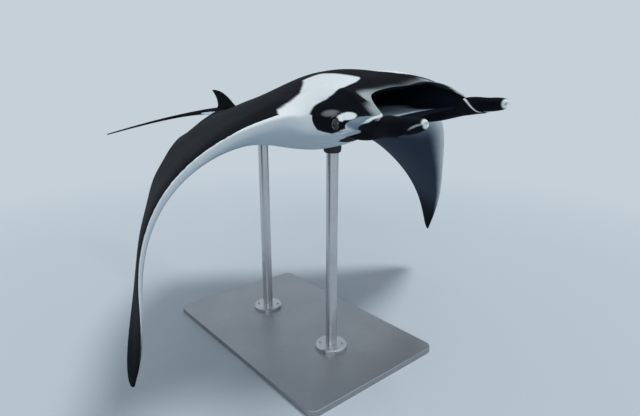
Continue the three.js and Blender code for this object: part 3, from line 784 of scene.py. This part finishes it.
    def sprout(self, side, test, rings, along=lambda u: u):
        """Grows rings out of the disc's cells whose corners all pass test(side * v, u)."""
        ranks = {
            vert: (round(side * vert[self.v], 6), round(along(vert[self.u]), 6))
            for vert in self.bm.verts if test(side * vert[self.v], vert[self.u])
        }
        root = [face for face in self.bm.faces if all(vert in ranks for vert in face.verts)]
        columns, rows = (sorted(set(values)) for values in zip(*ranks.values()))
        for vert, (column, row) in ranks.items():
            a = 2 * columns.index(column) / (len(columns) - 1) - 1
            b = 2 * rows.index(row) / (len(rows) - 1) - 1
            self.lay(vert, *disc_map(a, b))
        return self.grow(root, rings)

    def grow(self, faces, rings):
        """Draws a patch of faces out along rings, functions from a vertex to its place."""
        left = [{vert for face in faces for vert in face.verts}]
        for ring in rings:
            made = bmesh.ops.extrude_face_region(self.bm, geom=faces)["geom"]
            bmesh.ops.delete(self.bm, geom=faces, context="FACES")
            faces = [item for item in made if isinstance(item, bmesh.types.BMFace)]
            left.append({vert for face in faces for vert in face.verts})
            for vert in left[-1]:
                vert.co = ring(vert)
        return left

    def ease(self, rings, times):
        """Evens out the underside over some rings and the cells about them."""
        verts = {vert for ring in rings for vert in ring if vert.is_valid}
        verts |= {edge.other_vert(vert) for vert in verts for edge in vert.link_edges}
        verts = [vert for vert in verts if vert[self.u] < EASE_BELOW]
        for _ in range(times):
            bmesh.ops.smooth_vert(
                self.bm, verts=verts, factor=0.5, use_axis_x=True, use_axis_y=True, use_axis_z=True
            )


# Cephalic lobes rolled into horns: share, f, l, h, half width, half height.
right_lobe = Curve(
    (0, -0.02, 0.0645, -0.02, 0.0108, 0.0102), (0.15, -0.008, 0.0695, -0.0179, 0.0106, 0.0112),
    (0.38, 0.015, 0.0775, -0.0158, 0.0098, 0.0117), (0.62, 0.036, 0.083, -0.0154, 0.0086, 0.0113),
    (0.82, 0.052, 0.0862, -0.0138, 0.0072, 0.009), (1, 0.0655, 0.0882, -0.0116, 0.0054, 0.006),
)
left_lobe = Curve(
    (0, -0.02, 0.066, -0.0185, 0.011, 0.0102), (0.15, -0.008, 0.0705, -0.0163, 0.011, 0.0106),
    (0.38, 0.015, 0.0715, -0.0152, 0.0098, 0.0109), (0.62, 0.036, 0.0655, -0.0147, 0.0088, 0.01),
    (0.82, 0.05, 0.0587, -0.0136, 0.0078, 0.0088), (1, 0.063, 0.0525, -0.0126, 0.0062, 0.0068),
)
LOBE_STEPS = 24

# The root settles over its rings from the head's skin to the lobe.
LOBE_ROOT = 7
LOBE_CLEAR = 0.22
ROOT_SWELL = 0.05
ROOT_REACH = 0.03
ROOT_EASE = ((LOBE_ROOT, 2), (LOBE_ROOT - 2, 3), (LOBE_ROOT - 4, 4))

# The roll winds and tucks in; its free edge turns between two angles in half turns.
ROLL_DEPTH = 0.34
ROLL_TUCK = 0.14
TUCK_SPREAD = 0.06
ROLL_ONSET = (0.25, 0.6)
FREE_EDGE = (-0.5, 0.04)
FREE_EDGE_TURNS = (0.35, 0.95)

BLUNT_FROM = 0.93
BLUNT_REACH = 0.085
BLUNT_LEAST = 0.15
HOLLOW_DEEP = 0.012
HOLLOW_WIDE = 0.7


def lobe_ring(skin, rows, side, step):
    """Ring of a lobe; the free edge of the roll winds from under the lobe to its outer side."""
    share = lerp(LOBE_CLEAR, 1, max(step - LOBE_ROOT, 0) / (LOBE_STEPS - LOBE_ROOT))
    f, l, h, wide, high = rows.all(share)
    ahead = [q - p for p, q in zip(rows.all(share - 0.02)[:3], rows.all(share + 0.02)[:3])]
    axis = (ahead[0] * forward + side * ahead[1] * leftward + ahead[2] * upward).normalized()
    centre = world(f, side * l, h)
    over = (upward - upward.dot(axis) * axis).normalized()
    out = side * over.cross(axis)
    free_edge = lerp(*FREE_EDGE, smooth(share, *FREE_EDGE_TURNS)) * math.pi
    rolled = smooth(share, *ROLL_ONSET)
    blunt = math.sqrt(max(1 - clamp((share - BLUNT_FROM) / BLUNT_REACH) ** 2, BLUNT_LEAST))
    settle = clamp(step / LOBE_ROOT)

    def place(vert):
        x, y, rho = vert[skin.disc]
        angle = math.atan2(y, x)
        past = (angle - free_edge) % math.tau / math.tau
        shell = 1 - rolled * ROLL_DEPTH * past
        shell -= rolled * ROLL_TUCK * math.exp(-(((1 - past) / TUCK_SPREAD) ** 2))
        shell *= blunt * rho
        vert[skin.turn] = min(past, 1 - past), rolled, min(share, share * settle**2 + 1e-4)
        vert[skin.roll] = rho, 0, 0
        spot = centre + DISC_WIDTH * shell * (wide * math.cos(angle) * out + high * math.sin(angle) * over)
        spot -= DISC_WIDTH * HOLLOW_DEEP * max(1 - rho / HOLLOW_WIDE, 0) * smooth(share, 0.9, 1) * axis
        swell = settle * (1 - settle) ** 2 * ROOT_SWELL * vert[skin.facing]
        swell -= settle**2 * (1 - settle) * ROOT_REACH * axis
        return vert[skin.home].lerp(spot, smooth(settle, 0, 1)) + DISC_WIDTH * swell

    return place


# Eye: its middle in f, l and h, then its measures in disc widths.
EYE = (-0.05, 0.0942, -0.011)
EYE_BALL = 0.0078
EYE_SUNK = 0.0042
EYE_SOCKET = 0.0135
EYE_TALL = 1.12
EYE_REACH = 0.02
LID_CLEAR = 0.0005

# Rings over the lid into the socket: radius, height, share of the skin's own, clear of the ball.
EYE_RINGS = (
    (0.0106, 0, 1, False), (0.0098, -0.0005, 1, False), (0.009, 0.0003, 1, False),
    (0.0082, 0.001, 1, False), (0.0074, 0.0012, 1, True), (0.0066, 0.001, 1, True),
    (0.006, 0.0008, 0.9, True), (0.0055, 0, 0.5, True), (0.0058, -0.001, 0, False),
    (0.0084, -0.004, 0, False), (0.006, -0.011, 0, False),
)


def eye_axes(side):
    """Middle of the eye, the way it looks, the way forward along the skin, and up along it."""
    out = (side * leftward + 0.12 * forward + 0.05 * upward).normalized()
    over = (upward - upward.dot(out) * out).normalized()
    fore = (forward - forward.dot(out) * out - forward.dot(over) * over).normalized()
    return world(EYE[0], side * EYE[1], EYE[2]), out, fore, over


def eye_ring(skin, side, radius, proud, on_skin, lid):
    """Ring about an eye, as a row of EYE_RINGS has it."""
    middle, out, fore, over = eye_axes(side)

    def place(vert):
        x, y, rho = vert[skin.disc]
        ahead, above = radius * x, EYE_TALL * radius * y
        spot = middle + DISC_WIDTH * (above * over + ahead * fore)
        hit = skin.surface.ray_cast(spot + 0.1 * DISC_WIDTH * out, -out)[0] or spot
        level = on_skin * (hit - spot).dot(out) / DISC_WIDTH + proud
        if lid:
            ball = math.sqrt(max(EYE_BALL**2 - ahead**2 - above**2, 0)) - EYE_SUNK
            level = max(level, ball + LID_CLEAR)
        vert[skin.flat] = side * EYE[1], EYE[0] + ahead, EYE[2] + above
        vert[skin.roll] = 1, 0, 1 - radius / EYE_REACH
        return spot + DISC_WIDTH * level * out

    return place


# Pelvic fins at root and end: distance behind the head, inner and outer sides, half thickness.
PELVIC_BEHIND = (0.45, 0.4895)
PELVIC_INNER = (0.012, 0.0215)
PELVIC_OUTER = (0.042, 0.0335)
PELVIC_HALF = (0.0022, 0.00066)
PELVIC_SLANT = 0.006
PELVIC_H = -0.001
PELVIC_RINGS = (0.08, 0.2, 0.35, 0.5, 0.65, 0.8, 0.92, 1)


def pelvic_ring(skin, side, out):
    """Ring of a pelvic fin, out from its root (0) to its end (1)."""
    behind = lerp(*PELVIC_BEHIND, out)
    inner = lerp(*PELVIC_INNER, out**1.5)
    outer = lerp(*PELVIC_OUTER, out**3)
    half = lerp(*PELVIC_HALF, out)

    def place(vert):
        x, y, rho = vert[skin.disc]
        l = lerp(inner, outer, (x + 1) / 2)
        spot = world(-behind + PELVIC_SLANT * out * x, side * l, PELVIC_H + half * y)
        return vert[skin.home].lerp(spot, smooth(out, 0, 0.35))

    return place


# Dorsal fin against height above its root: front and rear in distance behind the head.
DORSAL_HEIGHT = 0.0375
DORSAL_HALF = 0.0028
DORSAL_THINNING = 0.75
DORSAL_RINGS = (-0.0005, 0.003, 0.007, 0.012, 0.017, 0.022, 0.0265, 0.031, 0.0345, 0.0365, DORSAL_HEIGHT)
dorsal = Curve(
    (-0.003, 0.398, 0.474), (0.004, 0.409, 0.4765), (0.012, 0.419, 0.479), (0.02, 0.4295, 0.481),
    (0.0275, 0.4425, 0.4855), (0.034, 0.459, 0.4895), (DORSAL_HEIGHT, 0.479, 0.4905),
)


def dorsal_ring(skin, height):
    front, rear = dorsal.all(height)
    half = DORSAL_HALF * (1 - DORSAL_THINNING * smooth(height, 0, DORSAL_HEIGHT))
    settle = smooth(height, -0.003, 0.006)

    def place(vert):
        x, y, rho = vert[skin.disc]
        behind = lerp(front, rear, (y + 1) / 2)
        vert[skin.flat] = half * x, -behind, height
        return vert[skin.home].lerp(world(-behind, half * x, height), settle)

    return place


# Tail: distance behind the front of the head, l, h and half width.
tail = Curve(
    (0.425, 0, -0.003, 0.0105), (0.46, 0, -0.002, 0.0092), (0.52, -0.001, -0.0015, 0.0062),
    (0.6, -0.008, -0.005, 0.0042), (0.7, -0.024, -0.013, 0.0031), (0.82, -0.05, -0.026, 0.0024),
    (0.925, -0.076, -0.039, 0.0016),
)
TAIL_ROOT = (0.455, 0.475)
TAIL_SETTLE = 4
TAIL_END = 0.925
TAIL_STEPS = 40
TAIL_FLAT = 0.85


def tail_ring(skin, behind, settle):
    l, h, half = tail.all(behind)

    def place(vert):
        x, y, rho = vert[skin.disc]
        spot = world(-behind, l + half * x, h + TAIL_FLAT * half * y)
        vert[skin.flat] = l, -behind, h
        vert[skin.turn] = SIDE_REACH, 0.5, 0
        return vert[skin.home].lerp(spot, settle)

    return place


# Growing it all ----------
def grow_lobe(skin, side, rows):
    rings = [lobe_ring(skin, rows, side, step + 1) for step in range(LOBE_STEPS)]
    grown = skin.sprout(side, lambda v, u: 0.1315 < v < 0.178 and -0.1515 < u < -0.0025, rings)
    for reach, times in ROOT_EASE:
        skin.ease(grown[:reach], times)


def grow_eye(skin, side):
    middle, out, fore, over = eye_axes(side)
    socket = skin.round_patch(middle, fore, over, EYE_SOCKET * DISC_WIDTH)
    skin.grow(socket, [eye_ring(skin, side, *row) for row in EYE_RINGS])


def grow_pelvic_fin(skin, side):
    rings = [pelvic_ring(skin, side, out) for out in PELVIC_RINGS]
    skin.sprout(side, lambda v, u: 0.045 < v < 0.115 and -0.988 < u < -0.962, rings)


def grow_dorsal_fin(skin):
    rings = [dorsal_ring(skin, height) for height in DORSAL_RINGS]
    skin.sprout(1, lambda v, u: abs(v) < 0.0076 and 0.83 < u < 0.99, rings)


def grow_tail(skin):
    start, clear = TAIL_ROOT
    places = [lerp(start, clear, i / (TAIL_SETTLE - 1)) for i in range(TAIL_SETTLE)]
    places += [lerp(clear, TAIL_END, (i + 1) / TAIL_STEPS) for i in range(TAIL_STEPS)]
    rings = [tail_ring(skin, behind, min((i + 1) / TAIL_SETTLE, 1)) for i, behind in enumerate(places)]
    skin.sprout(
        1, lambda v, u: abs(v) < 0.0301 and 0.974 < abs(u) < 1.5, rings,
        along=lambda u: math.copysign(1, u) - u,
    )


def linked(name, data):
    made = bpy.data.objects.new(name, data)
    bpy.context.scene.collection.objects.link(made)
    return made


def mesh_piece(name, bm, finish, rounded=True):
    """A new piece from a finished bmesh, in one finish."""
    mesh = bpy.data.meshes.new(name)
    bm.to_mesh(mesh)
    bm.free()
    if rounded:
        mesh.shade_smooth()
    mesh.materials.append(finish)
    return linked(name, mesh)


def flesh():
    """The whole skin as one piece, and its surface for what touches it."""
    skin = Skin()
    for side, rows in ((-1, right_lobe), (1, left_lobe)):
        grow_lobe(skin, side, rows)
        grow_eye(skin, side)
        grow_pelvic_fin(skin, side)
    grow_dorsal_fin(skin)
    grow_tail(skin)
    open_edges = [edge for edge in skin.bm.edges if edge.is_boundary]
    bmesh.ops.holes_fill(skin.bm, edges=open_edges, sides=0)
    bmesh.ops.recalc_face_normals(skin.bm, faces=skin.bm.faces[:])
    for layer in (skin.home, skin.facing, skin.disc):
        skin.bm.verts.layers.float_vector.remove(layer)
    surface = BVHTree.FromBMesh(skin.bm)
    piece = mesh_piece("skin", skin.bm, skin_finish())
    finer = piece.modifiers.new("finer", "SUBSURF")
    finer.levels = 1
    finer.render_levels = 1
    return piece, surface


FLESH = [name for name in frame["nodes"] if not name.startswith(("eye", "stand"))]
manta, manta_surface = flesh()
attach(manta, "root")
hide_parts(*FLESH)

EYE_FINISH = eye_finish()


def eyeball(name, side):
    """Eyeball whose vertices keep their place about its middle, z the way it looks."""
    bm = bmesh.new()
    bmesh.ops.create_uvsphere(bm, u_segments=48, v_segments=32, radius=EYE_BALL * DISC_WIDTH)
    gaze = bm.verts.layers.float_vector.new("gaze")
    for vert in bm.verts:
        vert[gaze] = vert.co / (EYE_BALL * DISC_WIDTH)
    middle, out, fore, over = eye_axes(side)
    turn = Matrix((over.cross(out), over, out)).transposed().to_4x4()
    place = Matrix.Translation(middle - EYE_SUNK * DISC_WIDTH * out)
    bmesh.ops.transform(bm, matrix=place @ turn, verts=bm.verts[:])
    return mesh_piece(name, bm, EYE_FINISH)


for name, side in (("eye_right", -1), ("eye_left", 1)):
    ball = eyeball(name + "_ball", side)
    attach(ball, "root")
    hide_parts(name)

# Stand ----------
STEEL = ((0.62, 0.63, 0.65, 1), (0.5, 0.51, 0.53, 1))
PLATE = ((0.4, 0.41, 0.43, 1), (0.33, 0.34, 0.36, 1))
RUBBER = (0.02, 0.021, 0.023, 1)
RUBBER_WORN = (0.035, 0.036, 0.039, 1)


def steel_finish(name, tones, grain, roughness):
    """Brushed steel; grain is how finely the brush marks repeat along x, y and z."""
    steel = Finish(name, Metallic=1)
    marks = steel.noise(1, 4, stretch=grain)
    cloud = steel.noise(3, 2) - 0.5
    steel.surface("Base Color", steel.blend((marks + cloud * 0.4).rise(0.3, 0.7), *tones))
    steel.surface("Roughness", roughness + (marks - 0.5) * 0.12 + cloud * 0.06)
    steel.bump(marks, 0.0004, 0.25)
    return steel.material


def rubber_finish():
    rubber = Finish("collar_rubber", Specular_IOR_Level=0.3)
    grain = rubber.noise(160, 3)
    rubber.surface("Base Color", rubber.blend(grain, RUBBER, RUBBER_WORN))
    rubber.surface("Roughness", 0.6 + grain * 0.15)
    rubber.bump(grain, 0.0005, 0.3)
    return rubber.material


def ring_of(bm, profile, middle, segments):
    """Spins a closed profile of (radius, height) round an upright axis."""
    x, y, z = middle
    corners = [bm.verts.new((x + radius, y, z + height)) for radius, height in profile]
    edges = [bm.edges.new((corners[i - 1], corners[i])) for i in range(len(corners))]
    bmesh.ops.spin(
        bm, geom=corners + edges, cent=middle, axis=(0, 0, 1), angle=math.tau, steps=segments,
        use_merge=True, use_duplicate=False,
    )


def stand_piece(name, bm, finish):
    bmesh.ops.remove_doubles(bm, verts=bm.verts[:], dist=1e-5)
    bmesh.ops.recalc_face_normals(bm, faces=bm.faces[:])
    piece = mesh_piece(name, bm, finish, rounded=False)
    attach(piece, "root")


ROD_STEEL = steel_finish("rod_steel", STEEL, (900, 900, 30), 0.3)
FLANGE_STEEL = steel_finish("flange_steel", STEEL, (300, 300, 300), 0.34)
PLATE_STEEL = steel_finish("plate_steel", PLATE, (14, 700, 700), 0.4)
RUBBER_FINISH = rubber_finish()
bpy.data.objects["stand_base"].material_slots[0].material = PLATE_STEEL
for end in ("front", "rear"):
    bpy.data.objects["stand_flange_" + end].material_slots[0].material = FLANGE_STEEL
    bpy.data.objects["stand_rod_" + end].material_slots[0].material = ROD_STEEL

# Cap screws in the flanges.
SCREW_CIRCLE = 0.078
SCREWS = 4
SCREW_HEAD = 0.0095
SCREW_TALL = 0.007
SCREW_BEVEL = 0.0012
SCREW_SOCKET = 0.0048
SOCKET_FLOOR = 0.0025
SCREW_CORE = 0.001
SCREW_PROFILE = (
    (SCREW_SOCKET, SCREW_TALL), (SCREW_HEAD - SCREW_BEVEL, SCREW_TALL),
    (SCREW_HEAD, SCREW_TALL - SCREW_BEVEL), (SCREW_HEAD, -SCREW_CORE),
    (SCREW_CORE, -SCREW_CORE), (SCREW_CORE, SOCKET_FLOOR), (SCREW_SOCKET, SOCKET_FLOOR),
)

# Rubber collars between the rods and the belly.
COLLAR_INNER = 0.0384
COLLAR_OUTER = 0.056
COLLAR_TOP = 0.014
COLLAR_FOOT = -0.03
COLLAR_PROFILE = (
    (COLLAR_INNER, COLLAR_FOOT), (COLLAR_OUTER - 0.012, COLLAR_FOOT),
    (COLLAR_OUTER - 0.004, COLLAR_FOOT + 0.006), (COLLAR_OUTER, COLLAR_FOOT + 0.018),
    (COLLAR_OUTER, COLLAR_TOP), (COLLAR_INNER, COLLAR_TOP),
)
BELOW_BELLY = 0.5
for end in ("front", "rear"):
    low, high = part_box("stand_flange_" + end)
    x, y, top = (low[0] + high[0]) / 2, (low[1] + high[1]) / 2, high[2]
    screws = bmesh.new()
    for turn in range(SCREWS):
        angle = (turn + 0.5) * math.tau / SCREWS
        spot = (x + SCREW_CIRCLE * math.cos(angle), y + SCREW_CIRCLE * math.sin(angle), top)
        ring_of(screws, SCREW_PROFILE, spot, 24)
    stand_piece("stand_screws_" + end, screws, FLANGE_STEEL)
    low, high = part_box("stand_rod_" + end)
    x, y = (low[0] + high[0]) / 2, (low[1] + high[1]) / 2
    below = [Vector((x + reach, y, BELOW_BELLY)) for reach in (COLLAR_OUTER, -COLLAR_OUTER)]
    touch = min(manta_surface.ray_cast(place, Vector((0, 0, 1)))[0].z for place in below)
    collar = bmesh.new()
    ring_of(collar, COLLAR_PROFILE, (x, y, touch), 64)
    stand_piece("stand_collar_" + end, collar, RUBBER_FINISH)

# Floor, lights, camera ----------
BACKDROP = (0.56, 0.63, 0.69, 1)
FLOOR_LIGHT = (0.58, 0.65, 0.7, 1)
FLOOR_DEEP = (0.54, 0.61, 0.66, 1)
FLOOR_HALF = 200
FLOOR_FADE = (2.5, 7)
ROOM_LIGHT = (0.86, 0.92, 1, 1)
ROOM_STRENGTH = 0.42


def floor_finish():
    """Pale floor that passes into the backdrop's own brightness away from the model."""
    pale = Finish("studio_floor", Specular_IOR_Level=0.2)
    x, y, z = pale.three(pale.place())
    grain = pale.noise(60, 3)
    pale.surface("Base Color", pale.blend(grain, FLOOR_LIGHT, FLOOR_DEEP))
    pale.surface("Roughness", 0.6 + grain * 0.1)
    glow = pale.add("ShaderNodeEmission", None, {"Color": BACKDROP})
    far = ((x * x + y * y) ** 0.5).rise(*FLOOR_FADE)
    mixed = pale.add("ShaderNodeMixShader", None, {0: far, 2: glow})
    pale.tree.links.new(pale.shader.outputs[0], mixed.socket.node.inputs[1])
    pale.tree.links.new(mixed.socket, pale.tree.nodes["Material Output"].inputs["Surface"])
    return pale.material


plane = bmesh.new()
bmesh.ops.create_grid(plane, x_segments=1, y_segments=1, size=FLOOR_HALF)
floor = mesh_piece("floor", plane, floor_finish(), rounded=False)


def studio():
    """World that is one plain tone to the camera and a soft cool light to everything else."""
    room = bpy.data.worlds.new("studio")
    room.use_nodes = True
    nodes, links = room.node_tree.nodes, room.node_tree.links
    light = nodes["Background"]
    light.inputs["Color"].default_value = ROOM_LIGHT
    light.inputs["Strength"].default_value = ROOM_STRENGTH
    seen = nodes.new("ShaderNodeBackground")
    seen.inputs["Color"].default_value = BACKDROP
    rays = nodes.new("ShaderNodeLightPath")
    shown = rays.outputs["Is Camera Ray"]
    for kind in ("Is Transmission Ray", "Is Glossy Ray"):
        either = nodes.new("ShaderNodeMath")
        either.operation = "ADD"
        either.use_clamp = True
        links.new(shown, either.inputs[0])
        links.new(rays.outputs[kind], either.inputs[1])
        shown = either.outputs[0]
    mixed = nodes.new("ShaderNodeMixShader")
    links.new(shown, mixed.inputs[0])
    links.new(light.outputs[0], mixed.inputs[1])
    links.new(seen.outputs[0], mixed.inputs[2])
    links.new(mixed.outputs[0], nodes["World Output"].inputs["Surface"])
    bpy.context.scene.world = room


def lamp(name, place, softness, strength):
    """Even light from one direction, as from a wide softbox; softness is its angle in degrees."""
    light = bpy.data.lights.new(name, "SUN")
    light.angle = math.radians(softness)
    light.energy = strength
    made = linked(name, light)
    made.location = place
    made.rotation_euler = Vector(place).to_track_quat("Z", "Y").to_euler()


studio()
lamp("key", (1.5, -1.5, 5.5), softness=18, strength=1.5)
lamp("fill", (-5, -4, 3), softness=30, strength=0.4)

CAMERA_LOOK = Vector((0.6205, 0.7360, -0.2709))
lens = bpy.data.cameras.new("camera")
lens.lens = 27.03
lens.sensor_width = 36
camera = linked("camera", lens)
camera.location = (-1.9834, -2.6222, 1.8844)
camera.rotation_euler = CAMERA_LOOK.to_track_quat("-Z", "Y").to_euler()
bpy.context.scene.camera = camera
bpy.context.scene.view_settings.view_transform = "Standard"
